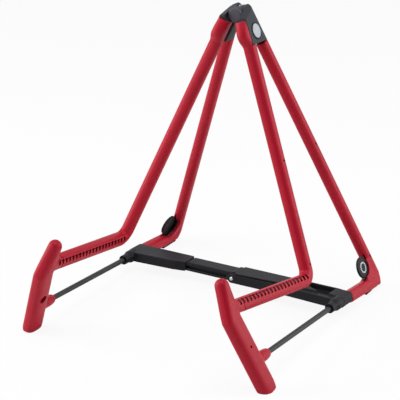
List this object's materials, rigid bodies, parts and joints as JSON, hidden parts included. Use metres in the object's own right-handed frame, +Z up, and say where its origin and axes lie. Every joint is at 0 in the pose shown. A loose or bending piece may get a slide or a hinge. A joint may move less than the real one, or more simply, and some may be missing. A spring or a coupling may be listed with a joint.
{
  "type": "folding guitar stand",
  "caption": "Folding A-frame floor stand for a guitar: two slotted cradle arms with upright horns, hinged at the top and tied by a folding crossbar.",
  "frame": {"origin": "centre of the footprint, on the floor", "axes": "+Z up, -Y to the side the guitar faces, X across the stand through both side frames"},
  "size_m": [0.3084, 0.33, 0.3397],
  "materials": {
    "red_plastic": "satin",
    "black_plastic": "satin",
    "sole_rubber": "matte",
    "dark_steel": "satin",
    "bright_steel": "polished",
    "pale_plastic": "gloss"
  },
  "bodies": {
    "hinge": {"hinge_pin": "bright_steel", "hinge_cap": "black_plastic", "hinge_washer": "bright_steel", "hinge_nut": "bright_steel"},
    "right_side": {"front_arm_right": "red_plastic", "foot_right": "red_plastic", "foot_screw_right": "dark_steel", "rod_right": "dark_steel", "rear_leg_right": "red_plastic", "heel_pad_right": "sole_rubber", "heel_disc_right": "black_plastic", "heel_ring_right": "pale_plastic", "badge_right": "pale_plastic", "arm_pin_right": "dark_steel", "leg_pin_right": "dark_steel", "bracket_right": "black_plastic"},
    "left_side": {"front_arm_left": "red_plastic", "foot_left": "red_plastic", "foot_screw_left": "dark_steel", "rod_left": "dark_steel", "rear_leg_left": "red_plastic", "heel_pad_left": "sole_rubber", "heel_disc_left": "black_plastic", "heel_ring_left": "pale_plastic", "badge_left": "pale_plastic", "arm_pin_left": "dark_steel", "leg_pin_left": "dark_steel", "bracket_left": "black_plastic"},
    "crossbar_right": {"crossbar_channel": "black_plastic", "rivet_front": "bright_steel", "rivet_rear": "bright_steel", "rod_bush_right": "black_plastic"},
    "crossbar_left": {"crossbar_sleeve": "black_plastic", "crossbar_tongue": "black_plastic", "tongue_pin": "dark_steel", "rod_bush_left": "black_plastic"}
  },
  "joints": [
    {"name": "right_side_fold", "type": "hinge", "parent": "hinge", "child": "right_side", "pos_m": [0, 0.0606, 0.33], "axis": [0, 0.9975, -0.0713], "range_deg": [0, 21.85]},
    {"name": "left_side_fold", "type": "hinge", "parent": "hinge", "child": "left_side", "pos_m": [0, 0.0606, 0.33], "axis": [0, -0.9975, 0.0713], "range_deg": [0, 21.85]},
    {"name": "crossbar_right_swing", "type": "hinge", "parent": "right_side", "child": "crossbar_right", "pos_m": [0.13421, 0.07081, 0.01699], "axis": [0, 0.9975, -0.0713], "range_deg": [0, 67.41]},
    {"name": "crossbar_left_swing", "type": "hinge", "parent": "left_side", "child": "crossbar_left", "pos_m": [-0.13421, 0.07081, 0.01699], "axis": [0, -0.9975, 0.0713], "range_deg": [0, 67.41]}
  ],
  "couplings": [
    {"joint": "left_side_fold", "follows": "right_side_fold", "ratio": 1},
    {"joint": "crossbar_right_swing", "follows": "right_side_fold", "ratio": 3.0853},
    {"joint": "crossbar_left_swing", "follows": "right_side_fold", "ratio": 3.0853}
  ]
}
